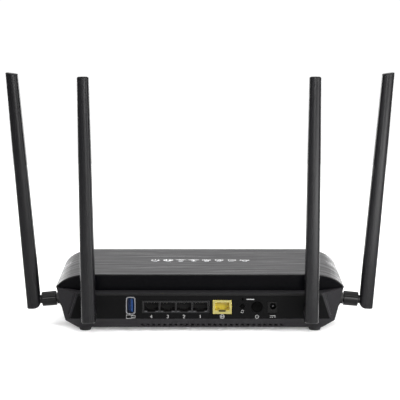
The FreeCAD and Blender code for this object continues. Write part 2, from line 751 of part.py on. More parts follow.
def paddle():
    """The antenna's hollow shell, with the fork that holds the knuckle on its pin."""
    wide, thick = PADDLE_WIDE[0], PADDLE_THICK[0]
    bevel = FOOT_BEVEL
    wires = [
        crowned_section(wide - 2 * bevel, thick - 2 * bevel, -PADDLE_FOOT),
        crowned_section(wide, thick, bevel - PADDLE_FOOT),
        crowned_section(wide, thick, TAPER_FROM),
        crowned_section(PADDLE_WIDE[1], PADDLE_THICK[1], PADDLE_TIP + 1),
    ]
    body = Part.makeLoft(wires[:2], True, True)
    for lower, upper in zip(wires[1:], wires[2:]):
        body = body.fuse(Part.makeLoft([lower, upper], True, True))
    body = body.common(paddle_profile())
    half = PADDLE_THICK[1] / 2
    slant = [V(0, -half, PADDLE_TIP), V(10, -half, PADDLE_TIP), V(0, half, PADDLE_TIP - PADDLE_TIP_FALL)]
    body = body.cut(beyond(facing(slant, Z_AXIS)))
    rim = [edge for edge in body.Edges if edge.BoundBox.ZMin > PADDLE_TIP - PADDLE_TIP_FALL - 0.5]
    body = body.makeFillet(0.9, rim)
    cavity = Part.makeBox(7.0, 7.4, 180, V(-3.5, -3.7, 12))
    passage = Part.makeCylinder(1.1, 10, V(0, 0, 3), Z_AXIS)
    slot = Part.makeBox(FORK_SLOT, 20, 20, V(-FORK_SLOT / 2, -FORK_REACH, FORK_REACH - 20))
    return body.cut(cavity).cut(passage).cut(slot).cut(hinge_pin())


def hinge_pin():
    """The pin, held blind between the two skins of the fork."""
    return Part.makeCylinder(PIN_R, 2 * PIN_HALF, V(-PIN_HALF, 0, 0), X_AXIS)


def radiator():
    """The strip inside the paddle, with the feed that comes up to it."""
    strip = Part.makeBox(6.2, 0.9, 170, V(-3.1, -0.45, 14))
    feed = Part.makeCylinder(0.75, 10, V(0, 0, 5.2), Z_AXIS)
    return strip.fuse(feed).removeSplitter()


def knuckle():
    """The swivelling elbow: a neck held in the sleeve and a head on the pin."""
    neck = Part.makeCylinder(NECK_R, 10.5, V(0, 0, 0), Y_AXIS)
    flange = Part.makeCylinder(4.9, 1.4, V(0, 9.4, 0), Y_AXIS)
    head = Part.makeCylinder(HEAD_R, 2 * NECK_R, V(-NECK_R, 0, 0), X_AXIS)
    feed = Part.makeCylinder(0.8, 8, V(0, 4, 0), Y_AXIS)
    pin_hole = Part.makeCylinder(PIN_R + 0.05, 20, V(-10, 0, 0), X_AXIS)
    return neck.fuse(head).fuse(flange).cut(feed).cut(pin_hole).removeSplitter()


def sleeve():
    """The turned coupling sleeve, threaded on the jack, with a grip band."""
    length = SLEEVE_TO - SLEEVE_FROM
    barrel = Part.makeCylinder(SLEEVE_R, length, V(0, SLEEVE_FROM, 0), Y_AXIS)
    rims = [edge for edge in barrel.Edges if edge.Closed]
    barrel = barrel.makeFillet(0.7, rims)
    mouth = Part.makeCylinder(NECK_R + RUNNING, 4, V(0, SLEEVE_FROM - 1, 0), Y_AXIS)
    chamber = Part.makeCylinder(5.0, 3.4, V(0, 9.3, 0), Y_AXIS)
    thread = Part.makeCylinder(NOSE_R + RUNNING, 20, V(0, 12, 0), Y_AXIS)
    barrel = barrel.cut(mouth).cut(chamber).cut(thread)
    for i in range(GRIP_GROOVES):
        angle = 2 * math.pi * i / GRIP_GROOVES
        reach = SLEEVE_R + 0.3
        groove = Part.makeCylinder(
            0.5, 7.5, V(reach * math.cos(angle), SLEEVE_TO - 9.2, reach * math.sin(angle)), Y_AXIS
        )
        barrel = barrel.cut(groove)
    return barrel


def jack(grip):
    """The bulkhead coaxial connector that clamps a wall of the given thickness."""
    back = WALL_TO_PIVOT + grip
    nose = Part.makeCylinder(NOSE_R, back - 12.5, V(0, 13, 0), Y_AXIS)
    shoulder = Part.makeCylinder(4.2, 2.5, V(0, back, 0), Y_AXIS)
    tail = Part.makeCylinder(2.2, 4, V(0, back + 2.5, 0), Y_AXIS)
    bore = Part.makeCylinder(2.1, 6, V(0, 12, 0), Y_AXIS)
    pin = Part.makeCylinder(0.5, 5, V(0, 14, 0), Y_AXIS)
    return nose.fuse(shoulder).fuse(tail).cut(bore).fuse(pin).removeSplitter()


def lock_nut():
    """A hexagon nut that clamps the jack, next to the sleeve."""
    points = []
    for i in range(6):
        angle = math.pi * i / 3
        points.append(V(5.4 * math.cos(angle), 0, 5.4 * math.sin(angle)))
    nut = prism(points, V(0, WALL_TO_PIVOT - 2.6, 0), V(0, 2.0, 0))
    return nut.cut(Part.makeCylinder(NOSE_R, 10, V(0, WALL_TO_PIVOT - 5, 0), Y_AXIS))


def washer():
    plate = Part.makeCylinder(5.8, 0.6, V(0, WALL_TO_PIVOT - 0.6, 0), Y_AXIS)
    return plate.cut(Part.makeCylinder(NOSE_R, 10, V(0, WALL_TO_PIVOT - 5, 0), Y_AXIS))


def pigtail(place, grip, landing):
    """The thin coaxial lead from a jack's tail to its plug on the board."""
    tail = place.multVec(V(0, WALL_TO_PIVOT + grip + 6.5, 0))
    ahead = place.multVec(V(0, WALL_TO_PIVOT + grip + 14, 0))
    over = V(landing.x, landing.y, BOARD_TOP + 1.3)
    before = over + (V(ahead.x, ahead.y, over.z) - over).normalize() * 12
    lead = tube([tail, ahead, before, over], 0.7, 5)
    plug = rod(landing.x, landing.y, BOARD_TOP, Z_AXIS, 1.6, 2.2)
    return lead.fuse(plug).removeSplitter()


def pigtails(kind, grip, landing):
    """The pair of leads of the two rear or the two side jacks."""
    places = antenna_places()
    left = pigtail(places[kind + "_left"], grip, V(-landing.x, landing.y, 0))
    right = pigtail(places[kind + "_right"], grip, landing)
    return Part.makeCompound([left, right])


# ---------------------------------------------------------------- build and write
def build():
    """Every named piece with its shape."""
    nodes = {
        "top_cover": top_cover(),
        "mid_frame": mid_frame(),
        "bottom_housing": bottom_housing(),
        "rear_panel": rear_panel(),
        "main_board": main_board(),
        "switch_board": switch_board(),
        "lan_sockets": socket_block(LAN_X, LAN_HALF, LAN_NOSE_Z, lan_mouths()),
        "lan_contacts": spring_contacts(lan_mouths()),
        "wan_socket": socket_block(WAN_X, WAN_HALF, WAN_NOSE_Z, wan_mouths()),
        "wan_contacts": spring_contacts(wan_mouths()),
        "usb_shell": usb_shell(),
        "usb_insert": usb_insert(),
        "usb_contacts": usb_contacts(),
        "dc_inlet": dc_inlet(),
        "dc_pin": dc_pin(),
        "power_button": power_button(),
        "power_switch": power_switch(),
        "wps_button": wps_button(),
        "wps_switch": wps_switch(),
        "reset_switch": reset_switch(),
        "reset_plunger": reset_plunger(),
        "shield_cans": shield_cans(),
        "processor": processor(),
        "heat_sink": heat_sink(),
        "line_transformers": line_transformers(),
        "capacitors": capacitors(),
        "status_leds": status_leds(),
        "light_guide": light_guide(),
        "rubber_feet": rubber_feet(),
        "case_screws": case_screws(),
        "board_screws": board_screws(),
        "rear_pigtails": pigtails("rear", REAR_GRIP, V(60, REAR + 44, 0)),
        "side_pigtails": pigtails("side", SIDE_GRIP, V(62, REAR + 64, 0)),
    }
    own_frame = {
        "sleeve": sleeve(),
        "knuckle": knuckle(),
        "hinge_pin": hinge_pin(),
        "paddle": paddle(),
        "radiator": radiator(),
    }
    nuts = []
    washers = []
    for name, place in antenna_places().items():
        grip = REAR_GRIP if name.startswith("rear") else SIDE_GRIP
        nodes[name + "_jack"] = placed(jack(grip), place)
        for part_name, shape in own_frame.items():
            nodes[name + "_" + part_name] = placed(shape, place)
        nuts.append(placed(lock_nut(), place))
        washers.append(placed(washer(), place))
    nodes["jack_nuts"] = Part.makeCompound(nuts)
    nodes["jack_washers"] = Part.makeCompound(washers)
    return nodes


def main():
    os.makedirs("parts", exist_ok=True)
    for name, shape in build().items():
        shape.exportStep("parts/" + name + ".step")


main()
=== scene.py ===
"""Looks of the wireless router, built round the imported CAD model. Lengths are in metres."""

import json
import math

import bmesh
import bpy
from mathutils import Euler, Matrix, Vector


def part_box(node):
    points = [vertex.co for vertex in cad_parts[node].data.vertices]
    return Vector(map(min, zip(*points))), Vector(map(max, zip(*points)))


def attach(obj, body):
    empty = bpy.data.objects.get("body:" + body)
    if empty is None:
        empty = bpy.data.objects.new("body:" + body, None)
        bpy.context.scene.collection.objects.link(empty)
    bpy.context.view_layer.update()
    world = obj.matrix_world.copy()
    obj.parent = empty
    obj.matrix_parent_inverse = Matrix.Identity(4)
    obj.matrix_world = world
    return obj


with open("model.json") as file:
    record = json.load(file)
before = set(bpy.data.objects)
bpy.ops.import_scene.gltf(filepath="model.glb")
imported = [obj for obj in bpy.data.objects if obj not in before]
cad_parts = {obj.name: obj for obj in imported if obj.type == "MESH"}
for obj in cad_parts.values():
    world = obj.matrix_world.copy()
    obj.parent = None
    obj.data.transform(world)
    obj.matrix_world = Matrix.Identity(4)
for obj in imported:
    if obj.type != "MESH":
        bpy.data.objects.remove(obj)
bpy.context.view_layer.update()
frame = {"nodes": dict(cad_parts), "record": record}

MM = 0.001
nodes = frame["nodes"]

# ------------------------------------------------------------------ places read from the frame
PANEL_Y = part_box("rear_panel")[0].y
SOCKET_FACE_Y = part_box("lan_sockets")[0].y
COVER_LOW, COVER_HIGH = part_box("top_cover")

# ------------------------------------------------------------------ sizes of prints, in metres
PRINT_RISE = 0.05 * MM
PORT_PITCH = 13.85 * MM
DIGIT_SIZE = 2.5 * MM
LABEL_Z = 14.1 * MM
PLUG_LABEL_Z = 13.9 * MM
PAIRING_LABEL_Z = 18.4 * MM
RESET_LABEL_SHIFT = 6.5 * MM
STATUS_SIZE = 8.0 * MM
STATUS_BEHIND_LAMPS = 6.6 * MM
STATUS_MARGIN = 0.8 * MM
DIGIT_STROKE = 0.2  # stroke widths are shares of a mark's size
STATUS_STROKE = 0.13
STROKE_TOP = 0.85  # width of a stroke's top as a share of its foot

# ------------------------------------------------------------------ socket faces
LAN_MOUTH_Z = 19.1 * MM  # lower edge of the four mouths
WAN_MOUTH_Z = 19.3 * MM
# place of the dark sheet of painted shade in the single socket's latch notch
LATCH_SLOT_Z = 18.75 * MM
LATCH_SLOT_DEPTH = 0.35 * MM  # from the sockets' face inward
RIM_RISE = 0.2 * MM
TAB_RISE = 0.15 * MM
PLATE_RISE = 0.12 * MM

# drawings on a socket's face are in millimetres, from the middle of its mouth's lower edge
MOUTH_HALF = 6.2
MOUTH_TOP = 6.95
NOTCH_HALF = 3.15
NOTCH_LOW = -1.45
PLATE_HALF = 7.8
PLATE_LOW = -2.8
PLATE_TOP = 8.7
RIM_HALF = 6.55
RIM_LOW = -1.1
RIM_TOP = 7.6
RIM_WIDTH = 0.4
TAB_INNER = 3.7
TAB_OUTER = 5.9
TAB_Z = -0.62
TAB_WIDTH = 0.7
# size of the dark sheet of painted shade in the latch notch
SLOT_HALF = 3.1
SLOT_HEIGHT = 1.9

# ------------------------------------------------------------------ stage, in metres, watts and degrees
LIGHT_TARGET = (0, 0, 0.06)
LIGHTS = {  # place, size, power
    "top_light": ((0.0, 0.0, 1.7), (3.2, 3.0), 60),
    "front_top_light": ((0.0, -1.2, 1.3), (0.9, 0.25), 5),
    "front_strip": ((0.0, -0.95, 0.33), (0.7, 0.1), 4.5),
    "back_light": ((0.0, 2.4, 0.5), (4.4, 0.9), 6.8),
    "back_left": ((-0.9, 2.3, 0.08), (0.8, 0.3), 3.2),
    "back_right": ((0.9, 2.3, 0.08), (0.8, 0.3), 3.2),
    "key_strip": ((0.1, -0.95, 0.36), (0.1, 0.72), 4),
    "side_strip": ((0.55, -0.75, 0.3), (0.34, 0.6), 5.5),
    "low_strip": ((0.3, -0.46, 0.07), (0.3, 0.12), 1.1),
    "left_fill": ((-1.4, 0.3, 1.1), (0.7, 0.9), 12),
    "right_fill": ((1.4, 0.3, 1.1), (0.7, 0.9), 12),
}
WORLD_FILL = 0.22
WORLD_SEEN = 1.05  # what the camera sees behind the object
FLOOR_RADIUS = 1.25
FLOOR_TONE = 0.92
FLOOR_GLOW = 0.2
CAMERA_DISTANCE = 1.636  # from the connector panel
CAMERA_HEIGHT = 0.3265
CAMERA_PITCH = 7.4  # downward
CAMERA_LENS_MM = 175.95
CAMERA_SENSOR_MM = 36.0


def middle(node):
    """The centre of a node's box."""
    low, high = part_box(node)
    return (low + high) / 2


# ------------------------------------------------------------------ materials
# a Mix node lists the sockets of every data type, and these are the ones of a colour mix
MIX_FACTOR = 0
MIX_COLOR_A = 6
MIX_COLOR_B = 7
MIX_COLOR_RESULT = 2
DARK_EDGE = 0.05 * MM  # the painted shade fades out between one and two of these behind its plane


def new_material(name, color, roughness, metallic=0.0, specular=0.5):
    """A Principled material with its plain values on the shader's own sockets."""
    material = bpy.data.materials.new(name)
    material.use_nodes = True
    shader = material.node_tree.nodes["Principled BSDF"]
    shader.inputs["Base Color"].default_value = (*color, 1.0)
    shader.inputs["Roughness"].default_value = roughness
    shader.inputs["Metallic"].default_value = metallic
    shader.inputs["Specular IOR Level"].default_value = specular
    return material


def add(material, kind, **inputs):
    """A node of a kind, with some of its inputs set (an underscore stands for a space)."""
    node = material.node_tree.nodes.new(kind)
    for key, value in inputs.items():
        node.inputs[key.replace("_", " ")].default_value = value
    return node


def link(material, source, output, target, socket):
    """Joins an output to an input."""
    material.node_tree.links.new(source.outputs[output], target.inputs[socket])


def stretched_noise(material, scale, stretch, detail=3.0, roughness=0.6):
    """Noise over the object's own coordinates, stretched by a factor along each axis."""
    place = add(material, "ShaderNodeTexCoord")
    mapping = add(material, "ShaderNodeMapping", Scale=stretch)
    noise = add(material, "ShaderNodeTexNoise", Scale=scale, Detail=detail, Roughness=roughness)
    link(material, place, "Object", mapping, "Vector")
    link(material, mapping, "Vector", noise, "Vector")
    return noise


def tint(material, noise, low, high, start=0.3, end=0.7, output="Fac"):
    """Colours the surface between two colours by a noise."""
    ramp = add(material, "ShaderNodeValToRGB")
    ramp.color_ramp.elements[0].position = start
    ramp.color_ramp.elements[1].position = end
    ramp.color_ramp.elements[0].color = (*low, 1.0)
    ramp.color_ramp.elements[1].color = (*high, 1.0)
    link(material, noise, output, ramp, "Fac")
    shader = material.node_tree.nodes["Principled BSDF"]
    link(material, ramp, "Color", shader, "Base Color")
    return ramp


def rough_by(material, noise, low, high, start=0.25, end=0.75, output="Fac"):
    """Varies the roughness between two values by a noise."""
    spread = add(material, "ShaderNodeMapRange", From_Min=start, From_Max=end, To_Min=low, To_Max=high)
    link(material, noise, output, spread, "Value")
    shader = material.node_tree.nodes["Principled BSDF"]
    link(material, spread, "Result", shader, "Roughness")


def bump(material, noise, strength, distance):
    """Raises the surface by a noise."""
    relief = add(material, "ShaderNodeBump", Strength=strength, Distance=distance)
    shader = material.node_tree.nodes["Principled BSDF"]
    link(material, noise, "Fac", relief, "Height")
    link(material, relief, "Normal", shader, "Normal")


def shade_behind(material, plane_y, dark):
    """Painted shade: gives the faces that lie on the connector side of a plane a darker tone, standing
    in for the shade that falls there.
    """
    ramp = next(n for n in material.node_tree.nodes if n.bl_idname == "ShaderNodeValToRGB")
    shader = material.node_tree.nodes["Principled BSDF"]
    place = add(material, "ShaderNodeTexCoord")
    split = add(material, "ShaderNodeSeparateXYZ")
    link(material, place, "Object", split, "Vector")
    start = plane_y + DARK_EDGE
    side = add(material, "ShaderNodeMapRange", From_Min=start, From_Max=start + DARK_EDGE)
    link(material, split, "Y", side, "Value")
    mix = add(material, "ShaderNodeMix")
    mix.data_type = "RGBA"
    mix.inputs[MIX_COLOR_A].default_value = (*dark, 1.0)
    link(material, side, "Result", mix, MIX_FACTOR)
    link(material, ramp, "Color", mix, MIX_COLOR_B)
    link(material, mix, MIX_COLOR_RESULT, shader, "Base Color")


def moulded(name, color, roughness, grain_mm, depth, specular=0.4, spread=0.25):
    """Moulded plastic: a fine spark-eroded grain with a little variation in tone."""
    material = new_material(name, color, roughness, 0.0, specular)
    grain = stretched_noise(material, 1000 / grain_mm, (1, 1, 1), 2.0)
    cloud = stretched_noise(material, 60, (1, 1, 1), 4.0)
    dark = [c * (1 - spread) for c in color]
    light = [c * (1 + spread) for c in color]
    tint(material, grain, dark, light)
    rough_by(material, cloud, roughness - 0.05, roughness + 0.06)
    bump(material, grain, 0.35, depth * MM)
    return material


def brushed(name, color, roughness, direction, metallic, specular=0.5, streak=0.22):
    """A brushed surface: broad soft streaks over fine hairlines, along X or along Y."""
    material = new_material(name, color, roughness, metallic, specular)
    along_x = direction == "X"
    fine_stretch = (0.012, 1, 0) if along_x else (1, 0.012, 1)
    broad_stretch = (0.07, 1, 0) if along_x else (1, 0.07, 1)
    fine = stretched_noise(material, 1600, fine_stretch, 4.0, 0.75)
    broad = stretched_noise(material, 170, broad_stretch, 3.0, 0.7)
    both = add(material, "ShaderNodeMix")
    both.inputs["Factor"].default_value = 0.78
    link(material, fine, "Fac", both, "A")
    link(material, broad, "Fac", both, "B")
    dark = [c * (1 - streak) for c in color]
    light = [c * (1 + streak) for c in color]
    tint(material, both, dark, light, 0.36, 0.64, "Result")
    rough_by(material, both, roughness - 0.2, roughness + 0.2, 0.35, 0.65, "Result")
    bump(material, fine, 0.12, 0.03 * MM)
    return material


def metal(name, color, roughness, spread=0.1):
    """Plated or turned metal with faint handling marks."""
    material = new_material(name, color, roughness, 1.0, 0.5)
    marks = stretched_noise(material, 900, (1, 1, 0.25), 4.0)
    tint(material, marks, [c * (1 - spread) for c in color], color)
    rough_by(material, marks, roughness - 0.04, roughness + 0.07)
    bump(material, marks, 0.06, 0.02 * MM)
    return material


def glossy(name, color, roughness, specular=0.5):
    """Polished plastic with a faint unevenness of its skin."""
    material = new_material(name, color, roughness, 0.0, specular)
    wave = stretched_noise(material, 180, (1, 1, 1), 2.0)
    speck = stretched_noise(material, 2200, (1, 1, 1), 3.0)
    tint(material, speck, [c * 0.85 for c in color], color)
    rough_by(material, wave, roughness * 0.7, roughness * 1.4)
    bump(material, wave, 0.03, 0.05 * MM)
    return material


def satin_antenna():
    """Satin black moulding of the antennas, with long faint flow marks."""
    material = new_material("antenna_satin", (0.0034, 0.0033, 0.0038), 0.26, 0.0, 0.12)
    flow = stretched_noise(material, 90, (1, 1, 0.08), 3.0)
    grain = stretched_noise(material, 3800, (1, 1, 1), 2.0)
    tint(material, grain, (0.0024, 0.0023, 0.0027), (0.0042, 0.0041, 0.0047))
    rough_by(material, flow, 0.23, 0.31)
    bump(material, grain, 0.12, 0.03 * MM)
    return material


def circuit_green():
    """Solder resist with darker copper areas showing through."""
    material = new_material("board_green", (0.01, 0.07, 0.03), 0.35)
    tracks = stretched_noise(material, 220, (1, 1, 1), 1.0)
    ramp = tint(material, tracks, (0.006, 0.045, 0.02), (0.015, 0.09, 0.04), 0.48, 0.52)
    ramp.color_ramp.interpolation = "CONSTANT"
    bump(material, tracks, 0.1, 0.05 * MM)
    return material


def clear_guide():
    """The clear moulding that carries the status light."""
    material = glossy("guide_clear", (0.75, 0.78, 0.8), 0.2)
    shader = material.node_tree.nodes["Principled BSDF"]
    shader.inputs["Transmission Weight"].default_value = 0.35
    return material


def printed(name, tone):
    """White pad print, slightly uneven in cover."""
    material = new_material(name, (tone, tone, tone), 0.55)
    ink = stretched_noise(material, 1800, (1, 1, 1), 3.0)
    tint(material, ink, [tone * 0.85] * 3, [min(tone * 1.15, 0.95)] * 3)
    bump(material, ink, 0.1, 0.02 * MM)
    return material


def make_materials():
    """Every material by its slot in the record."""
    return {
        "cover_brushed": brushed("cover_brushed", (0.028, 0.0275, 0.029), 0.42, "X", 0.0, 0.3, 0.45),
        "band_gloss": glossy("band_gloss", (0.0012, 0.0012, 0.0016), 0.15, 0.02),
        "housing_matte": moulded("housing_matte", (0.0102, 0.0098, 0.0109), 0.48, 0.55, 0.06, 0.08),
        "panel_matte": moulded("panel_matte", (0.0022, 0.0022, 0.0023), 0.5, 0.4, 0.04, 0.02),
        "antenna_satin": satin_antenna(),
        "sleeve_black": glossy("sleeve_black", (0.0012, 0.0012, 0.0014), 0.16, 0.15),
        "nut_dark": metal("nut_dark", (0.03, 0.03, 0.03), 0.35),
        "jack_black": metal("jack_black", (0.03, 0.03, 0.032), 0.35),
        "pin_steel": metal("pin_steel", (0.4, 0.4, 0.41), 0.3),
        "board_green": circuit_green(),
        "socket_grey": moulded("socket_grey", (0.005, 0.005, 0.005), 0.4, 0.4, 0.02, 0.08),
        "socket_yellow": moulded("socket_yellow", (0.52, 0.41, 0.02), 0.35, 0.5, 0.02, 0.4, 0.05),
        "usb_steel": metal("usb_steel", (0.23, 0.23, 0.24), 0.3),
        "usb_blue": moulded("usb_blue", (0.003, 0.018, 0.07), 0.3, 0.6, 0.02, 0.1, 0.08),
        "contact_gold": metal("contact_gold", (0.5, 0.37, 0.15), 0.25),
        "inlet_black": moulded("inlet_black", (0.004, 0.004, 0.004), 0.4, 0.4, 0.02, 0.04),
        "button_black": glossy("button_black", (0.001, 0.001, 0.001), 0.25, 0.008),
        "chip_black": moulded("chip_black", (0.014, 0.014, 0.014), 0.5, 0.3, 0.02),
        "sink_aluminium": brushed("sink_aluminium", (0.72, 0.72, 0.74), 0.35, "Y", 1.0, 0.08),
        "can_steel": metal("can_steel", (0.62, 0.62, 0.61), 0.3),
        "capacitor_can": metal("capacitor_can", (0.6, 0.6, 0.62), 0.3),
        "led_white": moulded("led_white", (0.8, 0.79, 0.72), 0.4, 0.3, 0.01, 0.4, 0.05),
        "guide_clear": clear_guide(),
        "foot_rubber": moulded("foot_rubber", (0.008, 0.008, 0.008), 0.75, 0.35, 0.04, 0.3),
        "screw_steel": metal("screw_steel", (0.35, 0.35, 0.35), 0.32),
        "lead_black": glossy("lead_black", (0.01, 0.01, 0.01), 0.4),
    }


materials = make_materials()
# painted shade on the connector-side faces of the housing and of the cover's rear lip
shade_behind(materials["housing_matte"], PANEL_Y, (0.003, 0.003, 0.0031))
shade_behind(materials["cover_brushed"], COVER_LOW.y, (0.002, 0.002, 0.0021))
print_white = printed("print_white", 0.17)
cover_white = printed("cover_white", 0.6)
# painted highlight: lighter tones for the socket rims and lip tabs, standing in for light caught on
# their edges
rim_highlight = moulded("rim_highlight", (0.014, 0.014, 0.015), 0.4, 0.4, 0.02, 0.12)
tab_highlight = moulded("tab_highlight", (0.03, 0.03, 0.032), 0.4, 0.4, 0.02, 0.2)
# painted shade: a near-black tone for the sheet in the latch notch
latch_shade = moulded("latch_shade", (0.02, 0.017, 0.006), 0.6, 0.4, 0.02, 0.1)
rim_yellow = moulded("rim_yellow", (0.165, 0.145, 0.042), 0.4, 0.5, 0.02, 0.3, 0.05)

for entry in frame["record"]["subparts"]:
    mesh = nodes[entry["node"]].data
    mesh.materials.clear()
    mesh.materials.append(materials[entry["material_slot"]])

# three small parts stand deep in their holes and get darker tones: painted shade for the shade inside
# their holes
deep_shaded_parts = {
    "dc_pin": metal("inlet_pin_shaded", (0.05, 0.05, 0.052), 0.4),
    "usb_contacts": metal("contact_shaded", (0.06, 0.075, 0.1), 0.35),
    "reset_plunger": moulded("plunger_shaded", (0.002, 0.002, 0.002), 0.6, 0.4, 0.02, 0.0),
}
for node, painted_shade in deep_shaded_parts.items():
    nodes[node].data.materials[0] = painted_shade


# ------------------------------------------------------------------ mesh tools
def finish_piece(name, mesh_data, material, body):
    """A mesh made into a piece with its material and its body."""
    piece = bpy.data.objects.new(name, mesh_data)
    bpy.context.scene.collection.objects.link(piece)
    mesh_data.materials.append(material)
    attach(piece, body)
    return piece


def arc(cx, cy, radius, start, end, steps=24):
    """Points on an arc, angles in degrees."""
    points = []
    for i in range(steps + 1):
        a = math.radians(start + (end - start) * i / steps)
        points.append((cx + radius * math.cos(a), cy + radius * math.sin(a)))
    return points


def ribbon(work, points, width, place, height, closed=False):
    """A flat raised stroke along points, put in space by place(u, v, rise)."""
    count = len(points)
    rows = []
    for i, (u, v) in enumerate(points):
        before = points[(i - 1) % count] if closed or i > 0 else points[i]
        after = points[(i + 1) % count] if closed or i < count - 1 else points[i]
        along = Vector((after[0] - before[0], after[1] - before[1])).normalized()
        side = Vector((-along.y, along.x)) * (width / 2)
        rows.append(
            [
                work.verts.new(place(u - side.x, v - side.y, 0)),
                work.verts.new(place(u - side.x * STROKE_TOP, v - side.y * STROKE_TOP, height)),
                work.verts.new(place(u + side.x * STROKE_TOP, v + side.y * STROKE_TOP, height)),
                work.verts.new(place(u + side.x, v + side.y, 0)),
            ]
        )
    spans = list(zip(rows, rows[1:])) + ([(rows[-1], rows[0])] if closed else [])
    for a, b in spans:
        for k in range(3):
            work.faces.new((a[k], b[k], b[k + 1], a[k + 1]))
        work.faces.new((a[3], b[3], b[0], a[0]))
    if not closed:
        work.faces.new(rows[0][::-1])
        work.faces.new(rows[-1])


def strokes(name, paths, width, place, body, material, height=PRINT_RISE):
    """A printed mark made of strokes: a list of (points, closed)."""
    work = bmesh.new()
    for points, closed in paths:
        ribbon(work, points, width, place, height, closed)
    bmesh.ops.recalc_face_normals(work, faces=work.faces)
    mesh_data = bpy.data.meshes.new(name)
    work.to_mesh(mesh_data)
    work.free()
    return finish_piece(name, mesh_data, material, body)


def on_panel(cx, cz, size):
    """Puts a unit drawing on the connector panel about a centre."""

    def place(u, v, rise):
        return Vector((cx + u * size, PANEL_Y - rise, cz + v * size))

    return place


def on_cover(cx, cy, size):
    """Puts a unit drawing on the flat top of the cover, read from the connector side."""

    def place(u, v, rise):
        return Vector((cx + u * size, cy + v * size, COVER_HIGH.z + rise))

    return place


# ------------------------------------------------------------------ printed marks
DIGITS = {
    "1": [([(-0.22, 0.3), (0.03, 0.5), (0.03, -0.5)], False)],
    "2": [(arc(0, 0.22, 0.28, 170, -35, 14) + [(-0.3, -0.5), (0.32, -0.5)], False)],
    "3": [
        (arc(0, 0.24, 0.26, 150, -80, 14), False),
        (arc(0, -0.22, 0.28, 80, -150, 14), False),
    ],
    "4": [
        ([(0.32, -0.2), (-0.34, -0.2), (0.14, 0.5)], False),
        ([(0.14, 0.5), (0.14, -0.5)], False),
    ],
}


def globe_mark():
    """A round globe: outline, equator and two meridians."""
    turns = [math.radians(a) for a in range(0, 360, 15)]
    meridian = [(0.24 * math.sin(a), 0.5 * math.cos(a)) for a in turns]
    return [
        (arc(0, 0, 0.5, 0, 345, 23), True),
        (meridian, True),
        ([(-0.5, 0), (0.5, 0)], False),
    ]


def power_mark():
    """An open ring with a bar in its gap."""
    return [(arc(0, -0.05, 0.42, 125, 415, 28), False), ([(0, 0.5), (0, 0.05)], False)]


def direct_current_mark():
    """A line over three dashes."""
    dashes = [([(u - 0.1, -0.14), (u + 0.1, -0.14)], False) for u in (-0.4, 0, 0.4)]
    return [([(-0.5, 0.14), (0.5, 0.14)], False)] + dashes


def pairing_mark():
    """Two arrows that chase each other."""
    paths = []
    for turn, sign in ((0, 1), (180, -1)):
        paths.append((arc(0, 0, 0.36, turn + 20, turn + 150, 14), False))
        a = math.radians(turn + 20)
        x = 0.36 * math.cos(a)
        y = 0.36 * math.sin(a)
        head = [(x - 0.16 * sign, y + 0.04 * sign), (x, y), (x + 0.12 * sign, y + 0.16 * sign)]
        paths.append((head, False))
    return paths


def plug_mark():
    """A plug seen from the side: a shell and its grip."""
    return [
        ([(-0.5, -0.2), (0.05, -0.2), (0.05, 0.2), (-0.5, 0.2)], True),
        ([(0.05, -0.12), (0.5, -0.12), (0.5, 0.12), (0.05, 0.12)], True),
    ]


def dash_mark():
    """A short line."""
    return [([(-0.5, 0), (0.5, 0)], False)]


def waves_mark():
    """A dot with two arcs over it."""
    return [
        (arc(0, -0.38, 0.05, 0, 330, 11), True),
        (arc(0, -0.38, 0.42, 45, 135, 12), False),
        (arc(0, -0.38, 0.8, 45, 135, 16), False),
    ]


def box_mark():
    """A plain box."""
    return [([(-0.4, -0.3), (0.4, -0.3), (0.4, 0.3), (-0.4, 0.3)], True)]


def screen_mark():
    """A screen on its stand."""
    return [
        ([(-0.42, -0.15), (0.42, -0.15), (0.42, 0.4), (-0.42, 0.4)], True),
        ([(0, -0.15), (0, -0.4)], False),
        ([(-0.25, -0.4), (0.25, -0.4)], False),
    ]


lan_xs = [middle("lan_sockets").x + PORT_PITCH * (i - 1.5) for i in range(4)]


def panel_marks():
    """Port numbers and plain symbols under the sockets and buttons."""
    for digit, x in zip("4321", lan_xs):
        name = "port_number_" + digit
        place = on_panel(x, LABEL_Z, DIGIT_SIZE)
        strokes(name, DIGITS[digit], DIGIT_STROKE, place, "router_body", print_white)
    reset = middle("reset_plunger")
    marks = [  # name, strokes, stroke width, x and z of the middle, size in millimetres
        ("globe_print", globe_mark(), 0.1, middle("wan_socket").x, LABEL_Z, 3.6),
        ("plug_print", plug_mark(), 0.07, middle("usb_shell").x, PLUG_LABEL_Z, 7.5),
        ("power_print", power_mark(), 0.13, middle("power_button").x, LABEL_Z, 3.3),
        ("direct_current_print", direct_current_mark(), 0.1, middle("dc_inlet").x, LABEL_Z, 4.6),
        ("pairing_print", pairing_mark(), 0.12, middle("wps_button").x, PAIRING_LABEL_Z, 3.0),
        ("reset_print", dash_mark(), 0.12, reset.x + RESET_LABEL_SHIFT, reset.z, 6.5),
    ]
    for name, paths, width, x, z, size in marks:
        strokes(name, paths, width, on_panel(x, z, size * MM), "router_body", print_white)


def cover_marks():
    """A row of plain status symbols behind the light windows."""
    low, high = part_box("status_leds")
    row_y = (low.y + high.y) / 2 + STATUS_BEHIND_LAMPS
    symbols = [
        power_mark, globe_mark, waves_mark, waves_mark,
        screen_mark, screen_mark, box_mark, plug_mark,
    ]
    first_x = low.x + STATUS_MARGIN
    pitch = (high.x - low.x - 2 * STATUS_MARGIN) / (len(symbols) - 1)
    for i, symbol in enumerate(symbols):
        name = "status_print_%d" % i
        place = on_cover(first_x + pitch * i, row_y, STATUS_SIZE)
        strokes(name, symbol(), STATUS_STROKE, place, "router_body", cover_white)


def on_face(x, z, depth=0.0):
    """Puts a drawing in millimetres on the face of the sockets, or a little behind it."""

    def place(u, v, rise):
        return Vector((x + u * MM, SOCKET_FACE_Y + depth - rise, z + v * MM))

    return place


